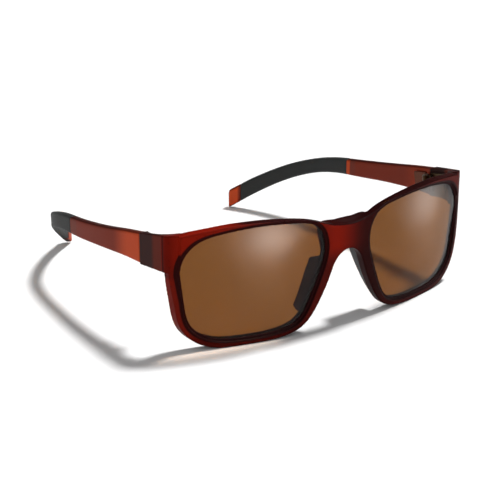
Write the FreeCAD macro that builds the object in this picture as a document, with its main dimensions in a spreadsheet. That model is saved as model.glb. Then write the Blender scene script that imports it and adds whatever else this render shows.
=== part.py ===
"""Wrap-front sports sunglasses with folding temples, standing open on their rims and tips.

Millimetres. +X is the wearer's left, +Y runs back towards the ears, +Z is up. The lower rims and
the temple tips stand on Z = 0, and the origin lies under the middle of the open glasses.
Left-hand pieces are modelled, and the right-hand ones are their mirror images.
"""
import FreeCAD, Part
import math
import os
from FreeCAD import Placement, Rotation, Vector

doc = FreeCAD.newDocument("sunglasses")

# ---------------------------------------------------------------- driving dimensions
SIZES = [
    ("lens_width", 56.5, "visible width of one lens"),
    ("lens_height", 43.8, "visible height of one lens"),
    ("bridge_width", 22.0, "least distance between the two lens openings"),
    ("front_radius", 176.0, "radius of the front face, seen from above"),
    ("front_tilt", 2.5, "forward lean of the brow, degrees"),
    ("rim_depth", 3.9, "front face to back face"),
    ("corner_round", 3.2, "rounding of the front corner into the end-piece, seen from above"),
    ("corner_bulge", 1.0, "how far the rounded corner stands out past the rim"),
    ("bridge_depth", 5.8, "depth of the bridge, which is thicker than the rims"),
    ("rim_top", 1.7, "rim above the lens"),
    ("rim_side", 3.6, "rim beside the temple"),
    ("rim_bottom", 2.9, "rim under the lens"),
    ("rim_nose", 4.9, "rim beside the nose"),
    ("lip_width", 1.1, "recessed step round the lens opening"),
    ("lip_depth", 0.7, "depth of that step behind the front face"),
    ("bridge_top", 41.7, "height of the brow at the middle"),
    ("bridge_rise", 1.9, "slope of the top of the bridge, up from the brow to its back face"),
    ("bridge_arch", 31.7, "height of the nose arch"),
    ("lens_setback", 1.1, "front face of the frame to the lens"),
    ("lens_thickness", 1.9, "lens thickness"),
    ("groove_depth", 0.8, "how far the lens reaches into its rim"),
    ("fin_reach", 6.0, "nose fins behind the back face"),
    ("fin_wall", 2.0, "thickness of the nose fins"),
    ("fin_splay", 0.34, "sideways spread of the fins per millimetre of reach"),
    ("pad_wall", 1.7, "thickness of the rubber nose pads"),
    ("seam_back", 32.1, "front of the frame to the temple seam"),
    ("seam_gap", 0.15, "gap between end-piece and temple"),
    ("seam_spread", 2.5, "how far the temples stand out past the rims at the seam"),
    ("seam_middle", 37.2, "height of the middle of the temple at the seam"),
    ("seam_height", 12.2, "temple height at the seam"),
    ("end_piece_top", 46.2, "top of the end-piece at the front corner"),
    ("temple_length", 114.9, "seam to tip, straight back"),
    ("temple_wall", 3.8, "temple thickness at the seam"),
    ("tip_wall", 3.5, "temple thickness at the tip"),
    ("tip_inset", 28.2, "how far the tip bends inwards"),
    ("tip_height", 8.7, "upright height of the tip"),
    ("sock_start", 0.488, "share of the temple length where the ear sock starts"),
    ("sock_end", 0.962, "share of the temple length where the ear sock ends"),
    ("sock_wall_side", 0.9, "rubber beside the core of the arm"),
    ("sock_wall_edge", 1.3, "rubber above and below the core"),
    ("section_round", 1.15, "rounding of the temple section"),
    ("hinge_tilt", 10.0, "lean of the hinge pin, square to the temple, degrees"),
    ("pin_inboard", 1.9, "hinge pin axis to the inner face of the temple"),
    ("pin_radius", 0.6, "hinge screw shank"),
    ("pin_clearance", 0.02, "running clearance round the shank"),
    ("knuckle_radius", 1.6, "outside of the hinge knuckles"),
    ("middle_knuckle", 2.6, "length of the temple knuckle"),
    ("outer_knuckle", 1.9, "length of each front knuckle"),
    ("knuckle_gap", 0.05, "gap between knuckles"),
    ("leaf_inner", 1.3, "pin axis to the inner face of a leaf"),
    ("leaf_wall", 1.4, "leaf thickness"),
    ("leaf_length", 7.2, "length of a leaf"),
    ("leaf_height", 8.2, "height of a leaf"),
    ("leaf_start", 1.75, "pin axis to the near end of a leaf"),
    ("leaf_margin", 1.55, "flat wall of the end-piece ahead of the leaf"),
    ("root_length", 3.0, "pin axis to the far side of a knuckle root"),
    ("root_wall", 1.8, "thickness of a knuckle root"),
    ("peg_radius", 0.5, "anchor pegs on the leaves"),
    ("peg_reach", 1.0, "anchor peg length"),
    ("head_radius", 1.2, "hinge screw head"),
    ("head_height", 0.6, "hinge screw head"),
    ("slot_width", 0.35, "driver slot"),
    ("slot_depth", 0.3, "driver slot"),
]

sheet = doc.addObject("Spreadsheet::Sheet", "sizes")
for row, (alias, value, note) in enumerate(SIZES, start=1):
    sheet.set(f"A{row}", note)
    sheet.set(f"B{row}", str(value))
    sheet.setAlias(f"B{row}", alias)
doc.recompute()


def size(alias):
    return float(getattr(sheet, alias))


# Sizes that follow from the sheet.
lens_half_width = size("lens_width") / 2
lens_half_height = size("lens_height") / 2
lens_centre_x = size("bridge_width") / 2 + lens_half_width
lens_centre_z = size("rim_bottom") + lens_half_height
front_half_width = lens_centre_x + lens_half_width + size("rim_side")
seam_half_width = front_half_width + size("seam_spread")
front_height = size("rim_bottom") + size("lens_height") + size("rim_top")
tilt_slope = math.tan(math.radians(size("front_tilt")))
TOOL_REACH = 60.0       # length of cutting bodies, beyond anything they cut


# ---------------------------------------------------------------- small helpers
def bind(item, **expressions):
    """Tie properties to the sheet. A double underscore stands for the dot of a sub-property."""
    for name, expression in expressions.items():
        item.setExpression(name.replace("__", "."), expression)
    return item


def feature(name, shape):
    item = doc.addObject("Part::Feature", name)
    item.Shape = shape
    return item


def combine(kind, name, *pieces):
    """A boolean of document objects: Cut, Common, or a fuse of two or more."""
    if kind == "Fuse":
        item = doc.addObject("Part::MultiFuse", name)
        item.Shapes = list(pieces)
    else:
        item = doc.addObject("Part::" + kind, name)
        item.Base, item.Tool = pieces
    return item


def box(name, corner, lengths):
    """A box; corner and lengths are expressions."""
    item = doc.addObject("Part::Box", name)
    return bind(item, Length=lengths[0], Width=lengths[1], Height=lengths[2],
                Placement__Base__x=corner[0], Placement__Base__y=corner[1], Placement__Base__z=corner[2])


def cylinder(name, radius, height, base_z="0"):
    """An upright cylinder on the Z axis; radius, height and base_z are expressions."""
    item = doc.addObject("Part::Cylinder", name)
    return bind(item, Radius=radius, Height=height, Placement__Base__z=base_z)


def mirror(name, source):
    item = doc.addObject("Part::Mirroring", name)
    item.Source = source
    item.Base = Vector(0, 0, 0)
    item.Normal = Vector(1, 0, 0)
    return item


def closed_face(points):
    """The face inside one smooth closed curve, which is cut into edges at its points."""
    curve = Part.BSplineCurve()
    curve.interpolate(Points=points, PeriodicFlag=True)
    knots = curve.getKnots()
    return Part.Face(Part.Wire([curve.toShape(a, b) for a, b in zip(knots, knots[1:])]))


def extrude_back(name, face):
    """Extrude an upright face along Y, from well ahead of the glasses."""
    profile = feature(name + "_profile", face)
    profile.Placement = Placement(Vector(0, -TOOL_REACH / 6, 0), Rotation())
    item = doc.addObject("Part::Extrusion", name)
    item.Base = profile
    item.DirMode = "Custom"
    item.Dir = Vector(0, 1, 0)
    item.LengthFwd = TOOL_REACH
    item.Solid = True
    return item


# ---------------------------------------------------------------- outlines of the front
# The lens outline in shares of its half width and half height, from the temple side upwards.
LENS_SHAPE = [
    (1.00, 0.25), (0.96, 0.56), (0.80, 0.81), (0.50, 0.94), (-0.05, 1.00), (-0.55, 0.96),
    (-0.88, 0.82), (-1.00, 0.45), (-0.92, -0.05), (-0.79, -0.48), (-0.60, -0.86), (-0.30, -0.98),
    (0.20, -1.00), (0.62, -0.92), (0.87, -0.66), (0.95, -0.25),
]


def lens_points(grow=None):
    """Points on the left lens outline, each moved outwards by its own entry of grow."""
    points = [Vector(lens_centre_x + u * lens_half_width, 0, lens_centre_z + w * lens_half_height)
              for u, w in LENS_SHAPE]
    if grow is None:
        return points
    curve = Part.BSplineCurve()
    curve.interpolate(Points=points, PeriodicFlag=True)
    moved = []
    for point, distance in zip(points, grow):
        along = Vector(*curve.tangent(curve.parameter(point))[0])
        outwards = Vector(along.z, 0, -along.x)
        moved.append(point + outwards * distance)
    return moved


def lens_face(grow=0.0):
    return closed_face(lens_points([grow] * len(LENS_SHAPE)))


def front_face():
    """The outline of the whole front: brow, corner, lower rim, nose side and arch, mirrored."""
    width, top, middle = front_half_width, front_height, size("bridge_top")
    brow = [(share_x * width, middle + share_z * (top - middle)) for share_x, share_z in
            [(0.11, 0.15), (0.20, 0.45), (0.29, 0.70), (0.38, 0.85), (0.47, 0.95), (0.59, 1.0),
             (0.73, 0.94), (0.86, 0.78), (0.945, 0.62)]]
    corner = [(width - 0.9, size("end_piece_top") - 2.0), (width, size("end_piece_top") - 6.1)]
    side, bottom, nose = size("rim_side"), size("rim_bottom"), size("rim_nose")
    widths = {0: side, 15: side, 14: side, 13: bottom + 0.7, 12: bottom, 11: bottom,
              10: bottom + 0.4, 9: nose - 0.6, 8: nose}
    outer = lens_points([widths.get(i, 0) for i in range(len(LENS_SHAPE))])
    rim = [(outer[i].x, outer[i].z) for i in widths]
    half_bridge = size("bridge_width") / 2
    arch = [(half_bridge * 0.45, size("bridge_arch") - 2.3)]
    half = brow + corner + rim + arch
    points = [Vector(0, 0, middle)] + [Vector(x, 0, z) for x, z in half]
    points += [Vector(0, 0, size("bridge_arch"))] + [Vector(-x, 0, z) for x, z in reversed(half)]
    return closed_face(points)


def bridge_outline(y, rise):
    """The outline of the thicker bridge, between the inner upper corners of the lenses."""
    half, arch, brow = size("bridge_width") / 2, size("bridge_arch"), size("bridge_top")
    side = [(half * share, z) for share, z in
            [(0.35, arch + 0.2), (0.8, arch - 1.5), (1.0, arch + 4.0), (1.08, brow - 2.4),
             (0.98, brow + 0.75 * rise), (0.5, brow + 0.95 * rise)]]
    points = [Vector(0, y, arch + 0.9)] + [Vector(x, y, z) for x, z in side]
    points += [Vector(0, y, brow + rise)] + [Vector(-x, y, z) for x, z in reversed(side)]
    return closed_face(points).OuterWire


# The lower rims stand on Z = 0, so the lenses rise by what the smooth outline dips below it.
lens_centre_z -= front_face().optimalBoundingBox(False).ZMin


def front_shell(name, near, far):
    """The part of the curved front between two distances behind its front face."""
    skins = []
    for side, depth in (("outer", near), ("inner", far)):
        skin = doc.addObject("Part::Cylinder", f"{name}_{side}")
        bind(skin, Radius=f"sizes.front_radius - ({depth})")
        skin.Height = 2 * TOOL_REACH
        turn = Rotation(Vector(1, 0, 0), size("front_tilt"))
        foot = turn.multVec(Vector(0, 0, -TOOL_REACH))
        skin.Placement = Placement(Vector(0, size("front_radius"), lens_centre_z) + foot, turn)
        skins.append(skin)
    return combine("Cut", name, *skins)


def front_y(x, z, depth=0.0):
    """Distance of the curved front behind its foremost point, at a place on it."""
    radius = size("front_radius")
    return radius - math.sqrt((radius - depth) ** 2 - x * x) - (z - lens_centre_z) * tilt_slope


# ---------------------------------------------------------------- lenses
def make_lens():
    blank = extrude_back("lens_blank", lens_face(size("groove_depth")))
    shell = front_shell("lens_shell", "sizes.lens_setback", "sizes.lens_setback + sizes.lens_thickness")
    return combine("Common", "lens_left", blank, shell)


# ---------------------------------------------------------------- temples
# Along the temple: share of length, share of the inward bend, share of the drop, height.
TEMPLE_RUN = [
    (0.00, 0.000, 0.000, 12.20), (0.10, -0.018, 0.036, 10.55), (0.25, -0.027, 0.108, 8.80),
    (0.42, 0.004, 0.189, 7.80), (0.56, 0.060, 0.250, 7.15), (0.68, 0.155, 0.350, 6.85),
    (0.79, 0.350, 0.500, 7.25), (0.90, 0.640, 0.725, 7.95), (1.00, 1.000, 1.000, 8.70),
]


def run_value(share, column):
    """Smooth value of one column of the temple run at a share of the length."""
    last = len(TEMPLE_RUN) - 1
    index = max(i for i in range(last) if TEMPLE_RUN[i][0] <= share + 1e-9)
    rows = [TEMPLE_RUN[max(0, index - 1)], TEMPLE_RUN[index], TEMPLE_RUN[index + 1],
            TEMPLE_RUN[min(last, index + 2)]]
    span = rows[2][0] - rows[1][0]
    t = (share - rows[1][0]) / span
    slope_in = (rows[2][column] - rows[0][column]) / (rows[2][0] - rows[0][0]) * span
    slope_out = (rows[3][column] - rows[1][column]) / (rows[3][0] - rows[1][0]) * span
    return ((2 * t**3 - 3 * t**2 + 1) * rows[1][column] + (t**3 - 2 * t**2 + t) * slope_in
            + (3 * t**2 - 2 * t**3) * rows[2][column] + (t**3 - t**2) * slope_out)


def temple_place(share):
    """Middle of the outer face of the temple at a share of its length."""
    drop = size("seam_middle") - size("tip_height") / 2
    return Vector(seam_half_width - run_value(share, 1) * size("tip_inset"),
                  size("seam_back") + size("seam_gap") + share * size("temple_length"),
                  size("seam_middle") - run_value(share, 2) * drop)


def temple_section(share, side_cut=0.0, edge_cut=0.0):
    """Upright rounded section of the temple, smaller all round by the two cuts."""
    step = 0.004
    ahead, behind = temple_place(min(1, share + step)), temple_place(max(0, share - step))
    inwards = Vector(ahead.y - behind.y, behind.x - ahead.x, 0).normalize() * -1
    if share == 0:
        inwards = Vector(-1, 0, 0)
    wall = size("temple_wall") + share * (size("tip_wall") - size("temple_wall"))
    scale = size("seam_height") + share * (size("tip_height") - size("seam_height"))
    nominal = TEMPLE_RUN[0][3] + share * (TEMPLE_RUN[-1][3] - TEMPLE_RUN[0][3])
    half_height = run_value(share, 3) * scale / nominal / 2 - edge_cut
    half_wall = wall / 2 - side_cut
    centre = temple_place(share) + inwards * (wall / 2)
    radius = min(size("section_round"), half_wall * 0.8)
    bulge = radius * (1 - math.sqrt(0.5))
    up = Vector(0, 0, 1)

    def at(across, height):
        return centre + inwards * across + up * height

    a, b = half_wall, half_height
    edges = []
    for sx, sz in ((1, 1), (-1, 1), (-1, -1), (1, -1)):
        ends = [at(sx * a, sz * (b - radius)), at(sx * (a - radius), sz * b)]
        if sx * sz < 0:
            ends.reverse()
        edges.append(Part.Arc(ends[0], at(sx * (a - bulge), sz * (b - bulge)), ends[1]).toShape())
    arcs = list(edges)
    edges = []
    for arc, following in zip(arcs, arcs[1:] + arcs[:1]):
        edges.append(arc)
        edges.append(Part.makeLine(arc.Vertexes[-1].Point, following.Vertexes[0].Point))
    return Part.Wire(edges)


def temple_loft(start, end, count, side_cut=0.0, edge_cut=0.0):
    shares = [start + (end - start) * i / (count - 1) for i in range(count)]
    return Part.makeLoft([temple_section(s, side_cut, edge_cut) for s in shares], True, False)


def make_temple(leaf):
    """The arm, whose core runs on inside the sock and shows at the tip, and the rubber sock."""
    start, end = size("sock_start"), size("sock_end")
    core = temple_loft(start, end, 9, size("sock_wall_side"), size("sock_wall_edge"))
    arm = feature("arm_front", temple_loft(0.0, start, 8))
    inside = feature("arm_core", core)
    tip = feature("arm_end", temple_loft(end, 1.0, 3))
    whole = combine("Fuse", "arm_blank", arm, inside, tip)
    arm_left = combine("Cut", "temple_arm_left", whole, leaf)
    sock = feature("sock_blank", temple_loft(start, end, 9))
    hole = feature("sock_bore", core)
    sock_left = combine("Cut", "ear_sock_left", sock, hole)
    return arm_left, sock_left


# ---------------------------------------------------------------- hinges
# Built round the pin: local Z along the pin, +Y back along the temple, +X outwards.
STACK = "(sizes.middle_knuckle / 2 + sizes.knuckle_gap + sizes.outer_knuckle)"
PIN_ACROSS = ("sizes.bridge_width / 2 + sizes.lens_width + sizes.rim_side + sizes.seam_spread"
              " - sizes.temple_wall - sizes.pin_inboard")


def hinge_leaf(name, towards, knuckles):
    """One leaf: plate, knuckles on their roots, and two anchor pegs. towards is -1 front, 1 temple."""
    near = "sizes.leaf_start" if towards > 0 else "-sizes.leaf_start - sizes.leaf_length"
    pieces = [box(name + "_plate", ("sizes.leaf_inner", near, "-sizes.leaf_height / 2"),
                  ("sizes.leaf_wall", "sizes.leaf_length", "sizes.leaf_height"))]
    for number, (low, length) in enumerate(knuckles):
        pieces.append(cylinder(f"{name}_knuckle{number}", "sizes.knuckle_radius", length, low))
        root = "0" if towards > 0 else "-sizes.root_length"
        pieces.append(box(f"{name}_root{number}", ("0", root, low),
                          ("sizes.root_wall", "sizes.root_length", length)))
    for number, share in enumerate((0.3, 0.75)):
        peg = cylinder(f"{name}_peg{number}", "sizes.peg_radius", "sizes.peg_reach + sizes.leaf_wall / 2")
        peg.Placement.Rotation = Rotation(Vector(0, 1, 0), 90)
        bind(peg, Placement__Base__x="sizes.leaf_inner + sizes.leaf_wall / 2",
             Placement__Base__y=f"{towards} * (sizes.leaf_start + {share} * sizes.leaf_length)")
        pieces.append(peg)
    return combine("Fuse", name + "_solid", *pieces)


def bored(name, solid, radius, low, length):
    bore = cylinder(name + "_bore", radius, length, low)
    return combine("Cut", name, solid, bore)


def on_hinge(item):
    """Put a piece built round the pin in its place at the seam."""
    item.Placement.Rotation = Rotation(Vector(1, 0, 0), -size("hinge_tilt"))
    return bind(item, Placement__Base__x=PIN_ACROSS,
                Placement__Base__y="sizes.seam_back", Placement__Base__z="sizes.seam_middle")


def make_front_leaf():
    upper = "sizes.middle_knuckle / 2 + sizes.knuckle_gap"
    solid = hinge_leaf("front_leaf", -1, [(upper, "sizes.outer_knuckle"),
                                          ("-" + STACK, "sizes.outer_knuckle")])
    eased = bored("front_leaf_eased", solid, "sizes.pin_radius + sizes.pin_clearance", upper,
                  "sizes.outer_knuckle")
    return on_hinge(bored("front_hinge_leaf_left", eased, "sizes.pin_radius", "-" + STACK,
                          "sizes.outer_knuckle"))


def make_temple_leaf():
    low = "-sizes.middle_knuckle / 2"
    solid = hinge_leaf("temple_leaf", 1, [(low, "sizes.middle_knuckle")])
    return on_hinge(bored("temple_hinge_leaf_left", solid, "sizes.pin_radius + sizes.pin_clearance",
                          low, "sizes.middle_knuckle"))


def make_screw():
    shank = cylinder("screw_shank", "sizes.pin_radius", "2 * " + STACK, "-" + STACK)
    head = cylinder("screw_head", "sizes.head_radius", "sizes.head_height", STACK)
    slot = box("screw_slot", ("-sizes.head_radius", "-sizes.slot_width / 2",
                              STACK + " + sizes.head_height - sizes.slot_depth"),
               ("2 * sizes.head_radius", "sizes.slot_width", "sizes.slot_depth"))
    return on_hinge(combine("Cut", "hinge_screw_left", combine("Fuse", "screw_solid", shank, head), slot))


# ---------------------------------------------------------------- end-piece, fins and pads
def wrap_curves():
    """Plan view of the end-piece: where its rounding starts and ends, its outside and its inside."""
    seam, half, wall = size("seam_back"), seam_half_width, size("temple_wall")
    reach = size("corner_round")
    near_x = front_half_width - reach
    near = Vector(near_x, front_y(near_x, lens_centre_z), 0)
    side = Vector(front_half_width + size("corner_bulge"), near.y + 1.25 * reach, 0)
    back = Vector(half, seam, 0) - side
    # The rounding leaves the front along its tangent and meets the straight side along its own.
    slope = near_x / (size("front_radius") - near.y)
    step = ((near.y - side.y) - slope * (near.x - side.x)) / (back.y - slope * back.x)
    outside = Part.BezierCurve()
    outside.setPoles([near, side + back * step, side])
    flat = size("leaf_start") + size("leaf_length") + size("leaf_margin")
    inside = Part.BSplineCurve()
    inside.interpolate([Vector(half - wall, seam, 0), Vector(half - wall, seam - flat, 0),
                        Vector(half - wall - 1.8, seam - flat - 2.5, 0),
                        Vector(near_x - 3.0, near.y + size("rim_depth") - 0.7, 0)])
    return near, side, outside, inside


def make_end_piece():
    """The arm of the front that wraps back from the corner to the seam."""
    seam, half, wall = size("seam_back"), seam_half_width, size("temple_wall")
    near, side, outside, inside = wrap_curves()
    outer_end, inner_end = Vector(half, seam, 0), Vector(half - wall, seam, 0)
    edges = [outside.toShape(), Part.makeLine(side, outer_end), Part.makeLine(outer_end, inner_end),
             inside.toShape(), Part.makeLine(inside.value(inside.LastParameter), near)]
    plan = Part.Face(Part.Wire(edges)).extrude(Vector(0, 0, TOOL_REACH))
    low = size("seam_middle") - size("seam_height") / 2
    high, corner = low + size("seam_height"), size("end_piece_top")
    profile = [(0, corner + 0.8), (near.y + 1.5, corner), (seam, high), (seam, low),
               (near.y + 2.0, low + 0.8), (0, low + 1.6), (0, corner + 0.8)]
    upright = Part.Face(Part.makePolygon([Vector(0, y, z) for y, z in profile]))
    return feature("end_piece_left", plan.common(upright.extrude(Vector(2 * TOOL_REACH, 0, 0))))


def corner_tool():
    """What is cut away outside the rounded corner, over the whole height."""
    near, side, outside, _ = wrap_curves()
    far = seam_half_width + TOOL_REACH
    corners = [side, Vector(seam_half_width, size("seam_back"), 0),
               Vector(far, size("seam_back"), 0), Vector(far, -TOOL_REACH, 0),
               Vector(near.x, -TOOL_REACH, 0), near]
    edges = [outside.toShape()] + [Part.makeLine(a, b) for a, b in zip(corners, corners[1:])]
    tool = Part.Face(Part.Wire(edges)).extrude(Vector(0, 0, 2 * TOOL_REACH))
    tool.translate(Vector(0, 0, -TOOL_REACH / 2))
    return feature("corner_cut_left", tool)


def nose_band(y, near, far, top, bottom, shift):
    """Closed band along the nose side of the rim, in an upright plane at y."""
    half = size("bridge_width") / 2
    arch = size("bridge_arch")
    spine = [(half * 0.54 + shift, top * arch), (half * 0.88 + shift, (top + bottom) / 2 * arch + 0.6),
             (half * 1.36 + shift, bottom * arch)]

    def arc(offset):
        a, b, c = [Vector(x + offset, y, z) for x, z in spine]
        return Part.Arc(a, b, c).toShape()

    first, second = arc(near), arc(far)
    ends = [Part.makeLine(first.Vertexes[-1].Point, second.Vertexes[-1].Point),
            Part.makeLine(second.Vertexes[0].Point, first.Vertexes[0].Point)]
    return Part.Wire([first, ends[0], second, ends[1]])


def make_nose_side():
    """The moulded fin behind the rim and the rubber pad on its nose side."""
    back, reach = size("rim_depth"), size("fin_reach")
    shift = reach * size("fin_splay")
    pad, fin = size("pad_wall"), size("fin_wall")
    start = back - 1.5
    fin_shape = Part.makeLoft([nose_band(start, pad, pad + fin, 0.95, 0.22, 0.0),
                               nose_band(back + reach, pad, pad + fin, 0.86, 0.30, shift)], True, True)
    pad_front = back + 0.8
    ratio = (pad_front - start) / (back + reach - start)
    pad_shape = Part.makeLoft([nose_band(pad_front, 0.0, pad, 0.95 - 0.09 * ratio, 0.22 + 0.08 * ratio,
                                         shift * ratio),
                               nose_band(back + reach, 0.0, pad, 0.86, 0.30, shift)], True, True)
    return feature("nose_fin_left", fin_shape), feature("nose_pad_left", pad_shape)


# ---------------------------------------------------------------- front frame
def make_front(end_left, fin_left, seated):
    """The front in one piece, cut to seat the lenses, pads and hinge leaves."""
    blank = combine("Common", "rim_blank", extrude_back("front_outline", front_face()),
                    front_shell("rim_shell", "0", "sizes.rim_depth"))
    start = front_y(0, size("bridge_top"))
    slope = Part.makeLoft([bridge_outline(start, -0.3),
                           bridge_outline(start + size("bridge_depth"), size("bridge_rise"))], True, True)
    bridge = combine("Common", "bridge_blank", feature("bridge_slope", slope),
                     front_shell("bridge_shell", "0.4", "sizes.bridge_depth"))
    whole = combine("Fuse", "front_solid", blank, bridge, end_left, mirror("end_piece_right", end_left),
                    fin_left, mirror("nose_fin_right", fin_left))
    corner = corner_tool()
    opening = extrude_back("lens_opening_left", lens_face())
    step = combine("Common", "lip_left", extrude_back("lip_blank", lens_face(size("lip_width"))),
                   front_shell("lip_shell", "-1", "sizes.lip_depth"))
    tools = combine("Fuse", "front_cuts", opening, mirror("lens_opening_right", opening),
                    step, mirror("lip_right", step), corner, mirror("corner_cut_right", corner), *seated)
    return combine("Cut", "front_frame", whole, tools)


# ---------------------------------------------------------------- assembly
temple_leaf_left = make_temple_leaf()
arm_left, sock_left = make_temple(temple_leaf_left)
end_left = make_end_piece()
fin_left, pad_left = make_nose_side()

seated = []
for piece in (make_lens(), make_front_leaf(), pad_left):
    seated += [piece, mirror(piece.Name.replace("_left", "_right"), piece)]
nodes = [make_front(end_left, fin_left, seated)] + seated
for piece in (make_screw(), temple_leaf_left, arm_left, sock_left):
    nodes += [piece, mirror(piece.Name.replace("_left", "_right"), piece)]
doc.recompute()

faults = [item.Name for item in doc.Objects if {"Invalid", "Error"} & set(item.State)]
faults += [item.Name for item in nodes if item.Shape.isNull() or not item.Shape.isValid()]
if faults:
    raise RuntimeError("failed: " + ", ".join(faults))

whole = Part.makeCompound([item.Shape for item in nodes]).optimalBoundingBox(False)
to_origin = Vector(0, -(whole.YMin + whole.YMax) / 2, 0)
pin = Vector(seam_half_width - size("temple_wall") - size("pin_inboard"), size("seam_back"),
             size("seam_middle")) + to_origin
print(f"overall {whole.XLength:.3f} x {whole.YLength:.3f} x {whole.ZLength:.3f}, z from {whole.ZMin:.3f}")
print(f"left hinge pin at {pin.x:.3f}, {pin.y:.3f}, {pin.z:.3f}")

os.makedirs("parts", exist_ok=True)
for item in nodes:
    item.Label = item.Name
    shape = item.Shape.copy()
    shape.translate(to_origin)
    shape.exportStep(f"parts/{item.Label}.step")
    print(f"{item.Label:28s} {shape.Volume:9.2f} mm3  {len(shape.Solids)} solid")
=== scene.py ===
"""Wrap-front sports sunglasses: soft-edged moulded front and arms, brown tinted lenses, rubber ear
socks and nose pads, steel hinges, and a plain pale studio."""

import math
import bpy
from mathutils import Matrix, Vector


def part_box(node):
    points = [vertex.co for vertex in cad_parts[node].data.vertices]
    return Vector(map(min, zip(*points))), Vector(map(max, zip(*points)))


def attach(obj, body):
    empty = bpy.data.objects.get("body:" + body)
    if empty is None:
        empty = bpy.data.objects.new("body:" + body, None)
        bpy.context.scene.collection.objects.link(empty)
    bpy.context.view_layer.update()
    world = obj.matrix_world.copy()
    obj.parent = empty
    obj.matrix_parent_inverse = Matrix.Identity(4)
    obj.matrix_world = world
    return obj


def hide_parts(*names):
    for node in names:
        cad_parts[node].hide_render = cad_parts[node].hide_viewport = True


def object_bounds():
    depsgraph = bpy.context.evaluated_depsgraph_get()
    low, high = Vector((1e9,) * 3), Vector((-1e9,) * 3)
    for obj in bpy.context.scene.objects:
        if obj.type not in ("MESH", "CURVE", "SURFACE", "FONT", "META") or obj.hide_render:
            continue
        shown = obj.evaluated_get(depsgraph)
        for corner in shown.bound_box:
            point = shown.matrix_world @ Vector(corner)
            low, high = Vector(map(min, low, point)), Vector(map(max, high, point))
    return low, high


bl_info = {
    "name": "Wrap-front sunglasses",
    "version": (1, 0, 0),
    "blender": (4, 5, 0),
    "location": "View3D > Sidebar > Glasses",
    "description": "Builds folding sunglasses around their CAD frame, and a studio for them",
    "category": "Object",
}

import bmesh
import bpy
import numpy as np
from bpy.props import FloatProperty, FloatVectorProperty, IntProperty, PointerProperty
from mathutils import Vector
from mathutils import geometry
from mathutils.bvhtree import BVHTree

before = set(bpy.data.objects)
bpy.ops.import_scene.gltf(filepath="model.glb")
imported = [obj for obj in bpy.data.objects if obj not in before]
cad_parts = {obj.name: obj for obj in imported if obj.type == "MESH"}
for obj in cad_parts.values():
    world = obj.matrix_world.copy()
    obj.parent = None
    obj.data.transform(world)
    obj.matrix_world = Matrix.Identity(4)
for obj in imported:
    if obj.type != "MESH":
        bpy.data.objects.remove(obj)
CAD_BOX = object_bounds()

SIDES = ("left", "right")
MM = 0.001
SMOOTHING = 0.5                      # strength of each smoothing pass
PAD_CELL_SHARE = 0.6                 # the pads' cell against the socks'
LIP_REACH = 2.4 * MM                 # how far from a lens the rim is still its lip

# Where the top of the bridge is smoothed further: from no smoothing to all of it.
BRIDGE_HEIGHT = (40.0 * MM, 41.5 * MM)
BRIDGE_SIDE = (16.0 * MM, 8.0 * MM)
BRIDGE_DEPTH = (1.5 * MM, 3.0 * MM)  # behind the foremost point of the front
BRIDGE_FACE_SHARE = 0.15             # what the foremost face still gets
TIP_START, TIP_FULL = 3.0 * MM, 1.0 * MM  # the same for an arm, before its end

LENS_SAMPLES = (0.2, 0.5, 0.8, 0.97)  # shares of the way out where a lens's faces are measured
SAMPLE_STEP = 6                      # every sixth spoke is measured
CROWN_POWER = 2.4                    # how flat the middle of a lens's crown is
LENS_EDGE = 0.25 * MM
RAY_CLEARANCE = 1.0

NYLON_GRAIN = 0.16 * MM
NYLON = {"IOR": 1.53, "Subsurface_Weight": 0.2, "Subsurface_Scale": 1.2 * MM}
RINGS = (9000.0, 9000.0, 900.0)      # stretch of the tool marks on a screw
STROKES = (900.0, 900.0, 14000.0)    # and on a leaf

# Bands across the end-pieces, in mm behind the front edge of the hinge leaf: start, end, length of
# the fade at each, strength, and colour. The first band is painted shade.
END_PIECE_BANDS = ((-10.0, -3.7, 3.5, 0.5, 0.45, "nylon_dark_shade"),
                   (-3.9, 20.0, 0.6, 1.0, 0.92, "root_brown"),
                   (-5.2, -3.6, 0.6, 0.6, 0.70, "nylon_dark_shade"),
                   (0.2, 20.0, 2.5, 1.0, 0.92, "steel_shade"))

FLOOR_HALF_WIDTH = 6.0
FLOOR_GAP = 0.05 * MM                # below the CAD box
KEY_PLACE = (0.47, 0.04, 1.0)
BRIGHT_SIDE = (-0.75, -0.62, 0.20)   # where the room is brightest, about one unit long
DARK_SHARE, BRIGHT_SHARE = 0.25, 1.75
# The lights that the lenses mirror: name, azimuth and elevation in degrees, and share of power.
BLOOMS = (("bloom_ahead", 8.5, 20.0, 1.1), ("bloom_beside", 63.0, 9.0, 0.5))
BLOOM_TARGET = (0.0, 0.0, 30.0 * MM)
BLOOM_DISTANCE, BLOOM_SIZE = 0.6, 0.12
NEAR_CLIP = 0.01


def length(name, millimetres, description, low=0.0, high=1000.0):
    """A length property, given in millimetres."""
    return FloatProperty(name=name, description=description, default=millimetres * MM,
                         min=low * MM, max=high * MM, subtype="DISTANCE", unit="LENGTH",
                         precision=5)


def count(name, value, description, low=0, high=600):
    """A whole-number property."""
    return IntProperty(name=name, description=description, default=value, min=low, max=high)


def angle(name, degrees, description):
    """An angle property, given in degrees."""
    return FloatProperty(name=name, description=description, default=math.radians(degrees),
                         subtype="ANGLE", unit="ROTATION")


def colour(name, value, description):
    """A colour property, in linear light."""
    return FloatVectorProperty(name=name, description=description, default=value, size=3,
                               min=0.0, max=1.0, subtype="COLOR")


def share(name, value, description):
    """A property from 0 to 1."""
    return FloatProperty(name=name, description=description, default=value, min=0.0, max=1.0,
                         subtype="FACTOR")


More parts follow.
